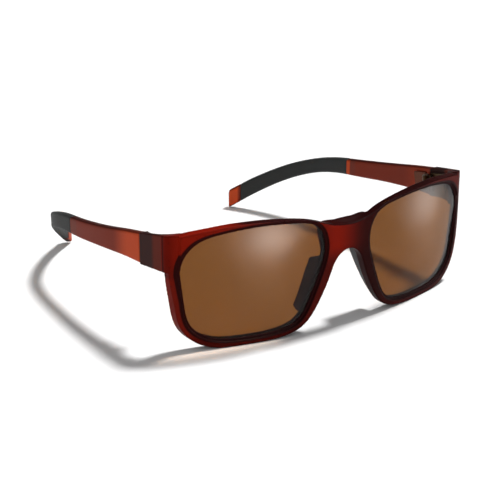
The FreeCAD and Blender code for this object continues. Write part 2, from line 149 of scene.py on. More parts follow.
# ---------------------------------------------------------------- what a user may change
class GlassesShape(bpy.types.PropertyGroup):
    """Sizes of the soft edges and small relief that the moulds leave"""

    front_cell: length("Front cell", 0.22, "Cell of the front's even mesh")
    arm_cell: length("Arm cell", 0.30, "Cell of the arms' even mesh")
    rubber_cell: length("Rubber cell", 0.25, "Cell of the socks' and pads' even mesh")
    front_rounding: count("Front rounding", 7, "Smoothing passes over the front")
    front_swell: length("Front swell", 0.14,
                        "Growth of the front that makes up for its rounded edges")
    arm_rounding: count("Arm rounding", 8, "Smoothing passes over the arms")
    rubber_rounding: count("Rubber rounding", 8, "Smoothing passes over the socks and pads")
    bridge_rounding: count("Bridge rounding", 320,
                           "Further smoothing passes over the top of the bridge")
    tip_rounding: count("Tip rounding", 25, "Further smoothing passes over the tips of the arms")
    lens_crown: length("Lens crown", 1.8, "How far the middle of a lens stands out past its edge",
                       -5, 5)
    lens_rings: count("Lens rings", 30, "Rings of faces from a lens's middle to its edge", 4, 120)
    lens_spokes: count("Lens spokes", 168, "Faces round a lens", 12, 720)


class GlassesFinish(bpy.types.PropertyGroup):
    """Colours and gloss of the materials"""

    # Painted glow: the red that the front shows where light would come through it.
    nylon_glow_red: colour("Nylon red", (0.215, 0.0072, 0.0012), "Front where light comes through")
    # Painted shade: the dark of the front's edges, recesses, slopes and shaded side.
    nylon_dark_shade: colour("Nylon dark", (0.012, 0.0010, 0.0010), "Front along its edges and recesses")
    nylon_deep: colour("Nylon deep", (0.130, 0.0072, 0.0030), "Front where it is thick")
    arm_brown: colour("Arm brown", (0.180, 0.028, 0.015), "Arms over most of their length")
    # Painted glow: orange where light would come through the arms.
    arm_glow_orange: colour("Arm orange", (0.48, 0.066, 0.020), "Arms over their steel hinge leaf")
    arm_grey: colour("Arm grey", (0.10, 0.045, 0.036), "Arms just ahead of the sock")
    root_brown: colour("Root brown", (0.095, 0.021, 0.014), "End-pieces ahead of the hinge leaf")
    steel_shade: colour("Steel seen through", (0.036, 0.018, 0.017),
                        "End-pieces over the hinge leaf")
    lens_brown: colour("Lens brown", (0.165, 0.062, 0.0135), "Tint of a lens")
    coating_lean: share("Coating lean", 0.28, "Upward lean of the lens coating's sheen")
    lens_shadow: colour("Lens shadow", (0.80, 0.75, 0.71),
                        "What each face of a lens lets through to the floor")
    rubber_black: colour("Rubber", (0.0155, 0.0165, 0.0160), "Ear socks")
    pad_grey: colour("Pad rubber", (0.018, 0.019, 0.021), "Nose pads")
    steel: colour("Leaf steel", (0.060, 0.036, 0.018), "Bronze-plated leaves on the front")
    arm_leaf: colour("Arm leaf", (0.10, 0.034, 0.020), "Leaves on the arms, plated to match them")
    screw_steel: colour("Screw steel", (0.16, 0.13, 0.10), "Hinge screws")
    nylon_roughness: share("Nylon roughness", 0.42, "Roughness of the moulded nylon")
    rubber_roughness: share("Rubber roughness", 0.62, "Roughness of the rubber")


class GlassesStudio(bpy.types.PropertyGroup):
    """Floor, lights and camera"""

    floor_colour: colour("Floor", (0.86, 0.86, 0.86), "Pale paper floor")
    key_strength: FloatProperty(name="Key light", description="Strength of the high soft light",
                                default=3.45, min=0.0)
    key_spread: angle("Key spread", 9.0, "Width of the high light as seen from below")
    bloom_power: FloatProperty(name="Lens light", default=2.6, min=0.0, unit="POWER",
                               description="Power of each round light that a lens mirrors")
    ambience: FloatProperty(name="Room light", description="Strength of the light all round",
                            default=0.30, min=0.0)
    view_azimuth: angle("View azimuth", -35.07, "Camera's turn about the upright")
    view_elevation: angle("View elevation", 20.15, "Camera's height above level")
    view_distance: length("View distance", 583.0, "Camera to the point it looks at")
    view_focus: FloatVectorProperty(name="View point", description="Point that the camera looks at",
                                    default=(-0.00798, -0.01876, 0.01610), size=3,
                                    subtype="TRANSLATION", unit="LENGTH", precision=5)
    focal_length: FloatProperty(name="Focal length", description="Camera lens on a 36 mm sensor",
                                default=101.66, min=1.0, subtype="DISTANCE_CAMERA")


# ---------------------------------------------------------------- meshes
def moulded(name, cad_node, cell, rounding, swell=0.0):
    """An even copy of a CAD node's mesh with its edges rounded off, as a mould leaves them."""
    piece = bpy.data.objects.new(name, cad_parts[cad_node].data.copy())
    piece.data.name = name
    piece.data.materials.clear()
    bpy.context.scene.collection.objects.link(piece)
    even = piece.modifiers.new("even", "REMESH")
    even.mode = "VOXEL"
    even.voxel_size = cell
    even.use_smooth_shade = True
    soft = piece.modifiers.new("soft", "SMOOTH")
    soft.factor = SMOOTHING
    soft.iterations = rounding
    if swell:
        grown = piece.modifiers.new("grown", "DISPLACE")
        grown.mid_level = 0.0
        grown.strength = swell
    return settle(piece)


def settle(piece):
    """Apply a piece's modifiers to its mesh."""
    graph = bpy.context.evaluated_depsgraph_get()
    mesh = bpy.data.meshes.new_from_object(piece.evaluated_get(graph), depsgraph=graph)
    old = piece.data
    piece.modifiers.clear()
    piece.data = mesh
    bpy.data.meshes.remove(old)
    mesh.name = piece.name
    mesh.polygons.foreach_set("use_smooth", [True] * len(mesh.polygons))
    return piece


def soften(piece, share_at, passes):
    """Smooth part of a piece further, by a share from 0 to 1 at each place."""
    chosen = piece.vertex_groups.new(name="softened")
    for vertex in piece.data.vertices:
        part = share_at(vertex.co)
        if part > 0.0:
            chosen.add((vertex.index,), min(1.0, part), "REPLACE")
    more = piece.modifiers.new("softer", "SMOOTH")
    more.factor = SMOOTHING
    more.iterations = passes
    more.vertex_group = chosen.name
    settle(piece)
    piece.vertex_groups.clear()


def ramp(value, low, high):
    """0 at low and before it, 1 at high and after it; low may be the greater."""
    return max(0.0, min(1.0, (value - low) / (high - low)))


def bridge_share(at, foremost):
    """How far a point of the front belongs to the top of the bridge, from 0 to 1."""
    behind = ramp(at.y - foremost, *BRIDGE_DEPTH)
    return (ramp(at.z, *BRIDGE_HEIGHT) * ramp(abs(at.x), *BRIDGE_SIDE) ** 2
            * (BRIDGE_FACE_SHARE + (1.0 - BRIDGE_FACE_SHARE) * behind))


def surface_tree(cad_node):
    """A CAD node's faces, to cast rays at and to measure distances from."""
    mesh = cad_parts[cad_node].data
    return BVHTree.FromPolygons([v.co for v in mesh.vertices], [p.vertices for p in mesh.polygons])


def mark_nearness(piece, name, cad_nodes, reach):
    """Store how near each point of a piece is to CAD nodes: 1 on them, 0 at reach."""
    trees = [surface_tree(cad_node) for cad_node in cad_nodes]
    layer = piece.data.attributes.new(name, "FLOAT", "POINT")
    values = []
    for vertex in piece.data.vertices:
        gaps = [found[3] for found in (tree.find_nearest(vertex.co, reach) for tree in trees)
                if found[3] is not None]
        values.append(1.0 - min(gaps) / reach if gaps else 0.0)
    layer.data.foreach_set("value", values)


def surface_terms(x, z):
    """Terms of the smooth function that stands for a lens's face."""
    return [1, x, z, x * x, x * z, z * z, x ** 3, x * x * z, x ** 4]


def fitted_surface(tree, spots, from_y, towards):
    """Smooth function y(x, z) through the points where a ray along Y meets a curved face."""
    rows, heights = [], []
    middle = sum(spots, Vector((0, 0))) / len(spots)
    for spot in spots:
        place = tree.ray_cast(Vector((spot.x, from_y, spot.y)), Vector((0, towards, 0)))[0]
        if place is not None:
            rows.append(surface_terms(*(spot - middle)))
            heights.append(place.y)
    shares = np.linalg.lstsq(np.array(rows), np.array(heights), rcond=None)[0]

    def height(x, z):
        return float(shares @ np.array(surface_terms(x - middle.x, z - middle.y)))

    return height


def lens_outline(cad_node, middle, spokes):
    """Points on a lens's outline as seen from the front, at even turns about its middle."""
    flat = [Vector((v.co.x, v.co.z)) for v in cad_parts[cad_node].data.vertices]
    rim = [flat[i] for i in geometry.convex_hull_2d(flat)]
    outline = []
    for spoke in range(spokes):
        turn = 2 * math.pi * spoke / spokes
        far = middle + Vector((math.cos(turn), math.sin(turn)))
        meets = [geometry.intersect_line_line_2d(middle, far, a, b)
                 for a, b in zip(rim, rim[1:] + rim[:1])]
        outline.append(max((m for m in meets if m), key=lambda m: (m - middle).length))
    return outline


def crowned_lens(name, cad_node, shape):
    """A lens inside its CAD outline, with smooth faces that stand out a little in the middle."""
    tree = surface_tree(cad_node)
    low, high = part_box(cad_node)
    middle = Vector(((low.x + high.x) / 2, (low.z + high.z) / 2))
    spokes, rings = shape.lens_spokes, shape.lens_rings
    outline = lens_outline(cad_node, middle, spokes)
    reach = (high.y - low.y) + RAY_CLEARANCE
    spots = [middle + (edge - middle) * part
             for edge in outline[::SAMPLE_STEP] for part in LENS_SAMPLES]
    ahead = fitted_surface(tree, spots, low.y - reach, 1.0)
    behind = fitted_surface(tree, spots, high.y + reach, -1.0)
    build = bmesh.new()

    def face_of(surface):
        """Middle point and rings of points outwards over one face."""
        centre = build.verts.new((middle.x, surface(*middle) - shape.lens_crown, middle.y))
        made = []
        for ring in range(1, rings + 1):
            part = math.sin(math.pi / 2 * ring / rings)
            crown = shape.lens_crown * (1 - part ** CROWN_POWER)
            made.append([build.verts.new((spot.x, surface(*spot) - crown, spot.y)) for spot in
                         (middle + (edge - middle) * part for edge in outline)])
        return centre, made

    skins = [face_of(ahead), face_of(behind)]
    for (centre, made), flip in zip(skins, (False, True)):
        for spoke in range(spokes):
            after = (spoke + 1) % spokes
            corners = [[centre, made[0][spoke], made[0][after]]]
            corners += [[a[spoke], b[spoke], b[after], a[after]] for a, b in zip(made, made[1:])]
            for corner in corners:
                build.faces.new(corner[::-1] if flip else corner)
    front_edge, back_edge = skins[0][1][-1], skins[1][1][-1]
    for spoke in range(spokes):
        after = (spoke + 1) % spokes
        build.faces.new((front_edge[spoke], back_edge[spoke], back_edge[after], front_edge[after]))
    bmesh.ops.recalc_face_normals(build, faces=build.faces)
    data = bpy.data.meshes.new(name)
    build.to_mesh(data)
    build.free()
    data.polygons.foreach_set("use_smooth", [True] * len(data.polygons))
    lens = bpy.data.objects.new(name, data)
    bpy.context.scene.collection.objects.link(lens)
    bevel = lens.modifiers.new("edge", "BEVEL")
    bevel.width = LENS_EDGE
    bevel.segments = 2
    bevel.limit_method = "ANGLE"
    bevel.angle_limit = math.radians(50)
    bevel.harden_normals = True
    return settle(lens)


# ---------------------------------------------------------------- node helpers
def node(tree, kind, inputs=None, **settings):
    """A shader node with its settings, and its inputs set or linked."""
    item = tree.nodes.new(kind)
    for name, value in settings.items():
        setattr(item, name, value)
    for socket, value in (inputs or {}).items():
        if isinstance(value, bpy.types.NodeSocket):
            tree.links.new(value, item.inputs[socket])
        else:
            item.inputs[socket].default_value = value
    return item


def maths(tree, operation, first, second=0.0):
    """The result of a Math node."""
    return node(tree, "ShaderNodeMath", {0: first, 1: second}, operation=operation).outputs[0]


def smooth_step(tree, value, low, high, to_low=0.0, to_high=1.0):
    """A value eased from to_low at low to to_high at high, and held beyond them."""
    return node(tree, "ShaderNodeMapRange",
                {"Value": value, "From Min": low, "From Max": high, "To Min": to_low,
                 "To Max": to_high}, interpolation_type="SMOOTHSTEP").outputs["Result"]


def blend_colour(tree, share_of_second, first, second):
    """Two colours mixed by a share; each is a link or plain RGBA."""
    item = node(tree, "ShaderNodeMix", data_type="RGBA", blend_type="MIX")
    for socket, value in (("Factor_Float", share_of_second), ("A_Color", first),
                          ("B_Color", second)):
        target = next(s for s in item.inputs if s.identifier == socket)
        if isinstance(value, bpy.types.NodeSocket):
            tree.links.new(value, target)
        else:
            target.default_value = value
    return next(s for s in item.outputs if s.identifier == "Result_Color")


def group(name, inputs, outputs):
    """A new shader node group, with its input and output nodes."""
    tree = bpy.data.node_groups.new(name, "ShaderNodeTree")
    for socket, value in inputs:
        made = tree.interface.new_socket(socket, in_out="INPUT", socket_type="NodeSocketFloat")
        made.default_value = value
    for socket in outputs:
        tree.interface.new_socket(socket, in_out="OUTPUT", socket_type="NodeSocketFloat")
    return tree, tree.nodes.new("NodeGroupInput"), tree.nodes.new("NodeGroupOutput")


def use_group(tree, name, **inputs):
    """A shared effect put into a tree, with its inputs set by name."""
    item = tree.nodes.new("ShaderNodeGroup")
    item.node_tree = bpy.data.node_groups[name]
    for socket, value in inputs.items():
        item.inputs[socket.replace("_", " ").capitalize()].default_value = value
    return item


def rgba(value):
    """An opaque colour from three parts."""
    return (*value, 1.0)


def scaled(value, factor):
    """A colour made lighter or darker, as RGBA."""
    return rgba(tuple(min(1.0, part * factor) for part in value))


def object_place(tree):
    """Position on the object, in metres."""
    return tree.nodes.new("ShaderNodeTexCoord").outputs["Object"]


# ---------------------------------------------------------------- shared effects
def make_mould_grain():
    """Fine spark-eroded texture of a mould, with slow unevenness under it."""
    tree, into, out = group("mould grain", [("Grain size", 0.00018), ("Unevenness", 0.35)],
                            ["Height", "Fleck"])
    place = object_place(tree)
    scale = maths(tree, "DIVIDE", 1.0, into.outputs["Grain size"])
    fine = node(tree, "ShaderNodeTexNoise", {"Vector": place, "Scale": scale, "Detail": 2.0,
                                             "Roughness": 0.55}).outputs["Fac"]
    slow = node(tree, "ShaderNodeTexNoise",
                {"Vector": place, "Scale": maths(tree, "MULTIPLY", scale, 0.03),
                 "Detail": 1.0}).outputs["Fac"]
    uneven = maths(tree, "MULTIPLY", slow, into.outputs["Unevenness"])
    tree.links.new(maths(tree, "ADD", fine, uneven), out.inputs["Height"])
    tree.links.new(smooth_step(tree, fine, 0.3, 0.7), out.inputs["Fleck"])


def make_edge_mask():
    """Ridge is 1 on outside edges and Hollow is 1 in inside corners; both are 0 on flats."""
    tree, into, out = group("edge mask", [("Sharpness", 0.04)], ["Ridge", "Hollow"])
    bend = tree.nodes.new("ShaderNodeNewGeometry").outputs["Pointiness"]
    high = maths(tree, "ADD", 0.5, into.outputs["Sharpness"])
    low = maths(tree, "SUBTRACT", 0.5, into.outputs["Sharpness"])
    tree.links.new(smooth_step(tree, bend, 0.505, high), out.inputs["Ridge"])
    tree.links.new(smooth_step(tree, bend, 0.495, low), out.inputs["Hollow"])


def make_band():
    """1 between two distances along Y, fading over its own soft length at each end."""
    tree, into, out = group("cross band", [("Start", 0.0), ("End", 1.0), ("Start fade", 0.001),
                                           ("End fade", 0.001)], ["Mask"])
    along = node(tree, "ShaderNodeSeparateXYZ", {0: object_place(tree)}).outputs["Y"]
    enter = maths(tree, "DIVIDE", maths(tree, "SUBTRACT", along, into.outputs["Start"]),
                  into.outputs["Start fade"])
    leave = maths(tree, "DIVIDE", maths(tree, "SUBTRACT", into.outputs["End"], along),
                  into.outputs["End fade"])
    both = maths(tree, "MINIMUM", enter, leave)
    tree.links.new(smooth_step(tree, both, 0.0, 1.0), out.inputs["Mask"])


def make_wear():
    """Faint handling marks: a mask of thin rubbed patches, for gloss."""
    tree, into, out = group("handling wear", [("Amount", 0.5)], ["Rub"])
    patches = node(tree, "ShaderNodeTexNoise",
                   {"Vector": object_place(tree), "Scale": 90.0, "Detail": 4.0,
                    "Roughness": 0.6}).outputs["Fac"]
    rub = smooth_step(tree, patches, 0.45, 0.75)
    tree.links.new(maths(tree, "MULTIPLY", rub, into.outputs["Amount"]), out.inputs["Rub"])


def new_material(name):
    """A material with only a Principled shader and its output."""
    material = bpy.data.materials.new(name)
    material.use_nodes = True
    tree = material.node_tree
    tree.nodes.clear()
    out = tree.nodes.new("ShaderNodeOutputMaterial")
    shader = tree.nodes.new("ShaderNodeBsdfPrincipled")
    tree.links.new(shader.outputs[0], out.inputs["Surface"])
    return material, tree, shader, out


def set_surface(tree, shader, base=None, roughness=None, height=None, bump_distance=0.02 * MM,
                bump_strength=0.5, **plain):
    """Feed the Principled shader, and set its plain values on its own sockets."""
    if base is not None:
        tree.links.new(base, shader.inputs["Base Color"])
    if roughness is not None:
        tree.links.new(roughness, shader.inputs["Roughness"])
    if height is not None:
        bump = node(tree, "ShaderNodeBump", {"Strength": bump_strength, "Distance": bump_distance,
                                             "Height": height})
        tree.links.new(bump.outputs[0], shader.inputs["Normal"])
    for name, value in plain.items():
        shader.inputs[name.replace("_", " ")].default_value = value


def parts_of(tree, source):
    """The X, Y and Z of a texture coordinate."""
    coordinate = tree.nodes.new("ShaderNodeTexCoord").outputs[source]
    return node(tree, "ShaderNodeSeparateXYZ", {0: coordinate}).outputs


def upward(tree, low, high, to_low=0.0, to_high=1.0):
    """A share eased over how far the surface faces up, from -1 underneath to 1 on top."""
    return smooth_step(tree, parts_of(tree, "Normal")["Z"], low, high, to_low, to_high)


def inward(tree):
    """1 where the surface faces the middle of the glasses, 0 where it faces out to the side."""
    side = maths(tree, "SIGN", parts_of(tree, "Object")["X"])
    facing = maths(tree, "MULTIPLY", parts_of(tree, "Normal")["X"], side)
    return smooth_step(tree, facing, -0.5, 0.1, 1.0, 0.0)


def product(tree, *shares):
    """All the shares multiplied together."""
    result = shares[0]
    for item in shares[1:]:
        result = maths(tree, "MULTIPLY", result, item)
    return result


# ---------------------------------------------------------------- materials
def nylon_roughness(tree, look, grain):
    """Roughness of moulded nylon: its fleck, less where hands have rubbed it."""
    rub = use_group(tree, "handling wear", amount=0.35).outputs["Rub"]
    spread = smooth_step(tree, grain.outputs["Fleck"], 0.0, 1.0, look.nylon_roughness - 0.05,
                         look.nylon_roughness + 0.06)
    return maths(tree, "SUBTRACT", spread, maths(tree, "MULTIPLY", rub, 0.12))


def front_nylon(look):
    """Translucent dark red nylon, with painted glow at the bridge and outer corners, painted shade
    on its edges, slopes, lips and wearer's left side, and greyer over the hinge leaves.
    """
    material, tree, shader, _ = new_material("front nylon")
    grain = use_group(tree, "mould grain", grain_size=NYLON_GRAIN, unevenness=0.4)
    edges = use_group(tree, "edge mask", sharpness=0.035)
    place = parts_of(tree, "Object")
    across, height = place["X"], place["Z"]
    sideways = maths(tree, "ABSOLUTE", across)
    # Painted shade that grows towards the wearer's left, darkening that side and dimming its corner
    # glow.
    shaded_side = smooth_step(tree, across, -10 * MM, 40 * MM)

    # Painted glow: red where light would come through, at the middle of the bridge and the outer
    # top corners, dimmer on the wearer's left.
    bridge = product(tree, smooth_step(tree, across, -12 * MM, -7 * MM, 0.4, 1.0),
                     smooth_step(tree, across, -6 * MM, 10 * MM, 1.0, 0.0),
                     smooth_step(tree, height, 28 * MM, 34 * MM, 0.2, 1.0))
    corner = product(tree, smooth_step(tree, sideways, 26 * MM, 64 * MM, 0.25, 1.0),
                     smooth_step(tree, height, 24 * MM, 40 * MM),
                     maths(tree, "SUBTRACT", 1.0, maths(tree, "MULTIPLY", shaded_side, 0.8)))
    painted_glow = maths(tree, "MAXIMUM", bridge, corner)
    shade = blend_colour(tree, painted_glow, rgba(look.nylon_deep), rgba(look.nylon_glow_red))

    # Painted shade: darker on the wearer's left, beside and below the bridge, along the bottom, on
    # the top and under slopes, along the ridges and on the lip round the lenses.
    beside_nose_shade = product(tree, smooth_step(tree, across, -6 * MM, 9 * MM),
                          smooth_step(tree, across, 16 * MM, 22 * MM, 1.0, 0.0), 0.85)
    below_bridge_shade = product(tree, smooth_step(tree, height, 26 * MM, 34 * MM, 1.0, 0.0),
                           smooth_step(tree, sideways, 22 * MM, 30 * MM, 1.0, 0.0), 0.55)
    under = smooth_step(tree, height, 2 * MM, 8 * MM, 0.6, 0.0)
    top_share = maths(tree, "MAXIMUM",
                      smooth_step(tree, sideways, 10 * MM, 20 * MM, 0.95, 0.15),
                      maths(tree, "MULTIPLY", shaded_side, 0.9))
    top_slope_shade = product(tree, upward(tree, 0.25, 0.7), top_share)
    underside_shade = product(tree, upward(tree, -0.75, -0.25, 1.0, 0.0), 0.8)
    # The lip round each lens is darkened with painted shade.
    near_lens = node(tree, "ShaderNodeAttribute", attribute_name="near_lens").outputs["Fac"]
    widened = smooth_step(tree, sideways, 50 * MM, 68 * MM, 0.0, 0.12)
    lip = smooth_step(tree, maths(tree, "ADD", near_lens, widened), 0.34, 0.52)
    for mask, amount in ((shaded_side, 0.45), (beside_nose_shade, 1.0), (below_bridge_shade, 1.0), (under, 1.0),
                         (top_slope_shade, 1.0), (underside_shade, 1.0), (edges.outputs["Ridge"], 0.25),
                         (lip, 0.94)):
        shade = blend_colour(tree, maths(tree, "MULTIPLY", mask, amount), shade,
                             rgba(look.nylon_dark_shade))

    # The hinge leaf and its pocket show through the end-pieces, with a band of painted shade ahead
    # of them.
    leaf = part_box("front_hinge_leaf_left")[0].y
    end_piece = smooth_step(tree, height, 28.5 * MM, 30.5 * MM)
    for start, end, start_fade, end_fade, amount, tone in END_PIECE_BANDS:
        band = use_group(tree, "cross band", start=leaf + start * MM, end=leaf + end * MM,
                         start_fade=start_fade * MM, end_fade=end_fade * MM).outputs["Mask"]
        shade = blend_colour(tree, product(tree, band, end_piece, amount), shade,
                             rgba(getattr(look, tone)))
    # Painted shade on the top and under faces over the hinge.
    edge = maths(tree, "MAXIMUM", upward(tree, 0.5, 0.85), underside_shade)
    over_hinge = smooth_step(tree, place["Y"], leaf - 4 * MM, leaf - 2 * MM)
    shade = blend_colour(tree, product(tree, edge, over_hinge, 0.75), shade,
                         rgba(look.nylon_dark_shade))
    set_surface(tree, shader, shade, nylon_roughness(tree, look, grain), grain.outputs["Height"],
                Specular_IOR_Level=0.02, Subsurface_Radius=(1.0, 0.25, 0.12), **NYLON)
    return material


def arm_nylon(look):
    """Translucent red-brown nylon, with painted orange glow over the steel leaf, beside the rubber
    sock and on the tip's inner face, and painted shade on its tops and ridges.
    """
    material, tree, shader, _ = new_material("arm nylon")
    grain = use_group(tree, "mould grain", grain_size=NYLON_GRAIN, unevenness=0.4)
    edges = use_group(tree, "edge mask", sharpness=0.04)
    leaf_low, leaf_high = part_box("temple_hinge_leaf_left")
    sock_low, sock_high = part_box("ear_sock_left")

    def band(start, end, start_fade, end_fade):
        return use_group(tree, "cross band", start=start, end=end, start_fade=start_fade * MM,
                         end_fade=end_fade * MM).outputs["Mask"]

    over_leaf = band(leaf_low.y - 4 * MM, leaf_high.y + 10 * MM, 1.0, 12.0)
    seam = band(sock_low.y - 2.8 * MM, sock_low.y + 10 * MM, 0.6, 1.0)
    before_sock = band(sock_low.y - 7 * MM, sock_low.y + 1 * MM, 2.0, 1.0)
    tip = band(sock_high.y - 2 * MM, sock_high.y + 50 * MM, 1.0, 1.0)
    inner = inward(tree)
    # Painted glow over the leaf, fainter on the inner face.
    glow = product(tree, over_leaf, 0.92, smooth_step(tree, inner, 0.0, 1.0, 1.0, 0.3))
    shade = blend_colour(tree, maths(tree, "MULTIPLY", before_sock, 0.3), rgba(look.arm_brown),
                         rgba(look.arm_grey))
    # The tip is dark like the rubber; then painted orange glow over the leaf, by the sock's seam
    # and on the tip's inner face, and painted shade on the top faces and ridges.
    for mask, tone in ((product(tree, tip, 0.9), look.rubber_black),
                       (glow, look.arm_glow_orange),
                       (product(tree, seam, inner, 0.9), look.arm_glow_orange),
                       (product(tree, tip, inner), look.arm_glow_orange),
                       (product(tree, upward(tree, 0.4, 0.8), 0.85), look.nylon_dark_shade),
                       (product(tree, edges.outputs["Ridge"], 0.3), look.nylon_dark_shade)):
        shade = blend_colour(tree, mask, shade, rgba(tone))
    set_surface(tree, shader, shade, nylon_roughness(tree, look, grain), grain.outputs["Height"],
                Specular_IOR_Level=0.03, Subsurface_Radius=(1.0, 0.3, 0.15), **NYLON)
    return material


def rubber(name, base, look):
    """Matte moulded rubber with a fine grain, a little paler along its rubbed edges."""
    material, tree, shader, _ = new_material(name)
    grain = use_group(tree, "mould grain", grain_size=0.22 * MM, unevenness=0.5)
    edges = use_group(tree, "edge mask", sharpness=0.05)
    paler = scaled(base, 2.2)
    shade = blend_colour(tree, maths(tree, "MULTIPLY", edges.outputs["Ridge"], 0.4), rgba(base),
                         paler)
    shade = blend_colour(tree, maths(tree, "MULTIPLY", grain.outputs["Fleck"], 0.25), shade, paler)
    rough = smooth_step(tree, grain.outputs["Fleck"], 0.0, 1.0, look.rubber_roughness - 0.06,
                        look.rubber_roughness + 0.08)
    set_surface(tree, shader, shade, rough, grain.outputs["Height"], bump_distance=0.03 * MM,
                bump_strength=0.6, IOR=1.48, Specular_IOR_Level=0.25)
    return material


def tinted_lens(look):
    """Brown tinted lens: clear to look through, with a soft bloom of light on its coating."""
    material, tree, shader, out = new_material("lens tint")
    smudge = node(tree, "ShaderNodeTexNoise", {"Vector": object_place(tree), "Scale": 35.0,
                                               "Detail": 3.0}).outputs["Fac"]
    rough = smooth_step(tree, smudge, 0.35, 0.75, 0.01, 0.03)
    set_surface(tree, shader, roughness=rough, Base_Color=rgba(look.lens_brown), IOR=1.12,
                Specular_IOR_Level=0.3, Transmission_Weight=1.0, Coat_Weight=0.20,
                Coat_Roughness=0.30, Coat_IOR=1.5)
    lean = maths(tree, "MULTIPLY", parts_of(tree, "Object")["Z"], -look.coating_lean)
    coating = node(tree, "ShaderNodeBump", {"Strength": 1.0, "Distance": 1.0, "Height": lean})
    tree.links.new(coating.outputs[0], shader.inputs["Coat Normal"])
    clear = node(tree, "ShaderNodeBsdfTransparent", {"Color": rgba(look.lens_shadow)})
    shadow = tree.nodes.new("ShaderNodeLightPath").outputs["Is Shadow Ray"]
    mixed = node(tree, "ShaderNodeMixShader",
                 {0: shadow, 1: shader.outputs[0], 2: clear.outputs[0]})
    tree.links.new(mixed.outputs[0], out.inputs["Surface"])
    return material


def hinge_steel(name, base, marks):
    """Plated steel with the fine lines of its last tool, stretched along its marks."""
    material, tree, shader, _ = new_material(name)
    stretch = node(tree, "ShaderNodeMapping", {"Vector": object_place(tree), "Scale": marks})
    lines = node(tree, "ShaderNodeTexNoise", {"Vector": stretch.outputs[0], "Scale": 1.0,
                                              "Detail": 2.0}).outputs["Fac"]
    edges = use_group(tree, "edge mask", sharpness=0.08)
    shade = blend_colour(tree, smooth_step(tree, lines, 0.3, 0.7), rgba(base), scaled(base, 0.7))
    # Painted shade: darker in the hollows.
    shade = blend_colour(tree, maths(tree, "MULTIPLY", edges.outputs["Hollow"], 0.5), shade,
                         scaled(base, 0.2))
    rough = smooth_step(tree, lines, 0.2, 0.8, 0.24, 0.42)
    set_surface(tree, shader, shade, rough, lines, bump_distance=0.01 * MM, bump_strength=0.3,
                Metallic=1.0)
    return material


def paper_floor(setup):
    """Pale matte paper with a faint fibre."""
    material, tree, shader, _ = new_material("paper floor")
    fibre = node(tree, "ShaderNodeTexNoise", {"Vector": object_place(tree), "Scale": 1800.0,
                                              "Detail": 3.0}).outputs["Fac"]
    shade = blend_colour(tree, smooth_step(tree, fibre, 0.3, 0.7), rgba(setup.floor_colour),
                         scaled(setup.floor_colour, 0.985))
    set_surface(tree, shader, shade, Roughness=0.9, Specular_IOR_Level=0.1)
    return material


def paint(piece, material):
    """Give a piece or CAD node its material on its object's own slots."""
    if not piece.material_slots:
        piece.data.materials.append(None)
    for place in piece.material_slots:
        place.link = "OBJECT"
        place.material = material
    return piece


# ---------------------------------------------------------------- floor, lights and camera
def around(azimuth, elevation, distance):
    """A place about the origin; azimuth 0 is ahead of the glasses and turns towards their left."""
    level = math.cos(elevation)
    return Vector((math.sin(azimuth) * level, -math.cos(azimuth) * level,
                   math.sin(elevation))) * distance


def light(name, kind, place, target, **settings):
    """A light that shines from a place towards a target, and isn't seen itself."""
    data = bpy.data.lights.new(name, kind)
    for setting, value in settings.items():
        setattr(data, setting, value)
    lamp = bpy.data.objects.new(name, data)
    lamp.location = place
    lamp.rotation_euler = (Vector(place) - Vector(target)).to_track_quat("Z", "Y").to_euler()
    lamp.visible_camera = False
    bpy.context.scene.collection.objects.link(lamp)
    return lamp


def make_floor(setup):
    """The paper that the glasses stand on."""
    build = bmesh.new()
    bmesh.ops.create_grid(build, x_segments=8, y_segments=8, size=FLOOR_HALF_WIDTH)
    data = bpy.data.meshes.new("floor")
    build.to_mesh(data)
    build.free()
    floor = bpy.data.objects.new("floor", data)
    bpy.context.scene.collection.objects.link(floor)
    floor.location.z = CAD_BOX[0].z - FLOOR_GAP
    paint(floor, paper_floor(setup))


def make_room(setup):
    """White to the camera, and light from all round that is stronger from one side."""
    world = bpy.data.worlds.new("studio")
    bpy.context.scene.world = world
    world.use_nodes = True
    tree = world.node_tree
    back = next(n for n in tree.nodes if n.type == "BACKGROUND")
    back.inputs["Color"].default_value = rgba((1.0, 1.0, 1.0))
    seen = tree.nodes.new("ShaderNodeLightPath").outputs["Is Camera Ray"]
    direction = tree.nodes.new("ShaderNodeTexCoord").outputs["Generated"]
    towards = node(tree, "ShaderNodeVectorMath", {0: direction, 1: BRIGHT_SIDE},
                   operation="DOT_PRODUCT").outputs["Value"]
    room = smooth_step(tree, towards, -1.0, 1.0, DARK_SHARE * setup.ambience,
                       BRIGHT_SHARE * setup.ambience)
    tree.links.new(maths(tree, "MAXIMUM", seen, room), back.inputs["Strength"])


def make_lights(setup):
    """The high soft light, and the round lights that only shine on glossy faces."""
    light("key", "SUN", KEY_PLACE, (0.0, 0.0, 0.0), energy=setup.key_strength,
          angle=setup.key_spread)
    for name, azimuth, elevation, part in BLOOMS:
        place = around(math.radians(azimuth), math.radians(elevation), BLOOM_DISTANCE)
        lamp = light(name, "AREA", place, BLOOM_TARGET, energy=setup.bloom_power * part,
                     shape="DISK", size=BLOOM_SIZE)
        lamp.visible_diffuse = False


def make_camera(setup):
    """The camera, looking at its point from its azimuth and elevation."""
    scene = bpy.context.scene
    data = bpy.data.cameras.new("camera")
    data.lens = setup.focal_length
    data.clip_start = NEAR_CLIP
    camera = bpy.data.objects.new("camera", data)
    scene.collection.objects.link(camera)
    back_off = around(setup.view_azimuth, setup.view_elevation, 1.0)
    camera.location = Vector(setup.view_focus) + back_off * setup.view_distance
    camera.rotation_euler = back_off.to_track_quat("Z", "Y").to_euler()
    scene.camera = camera


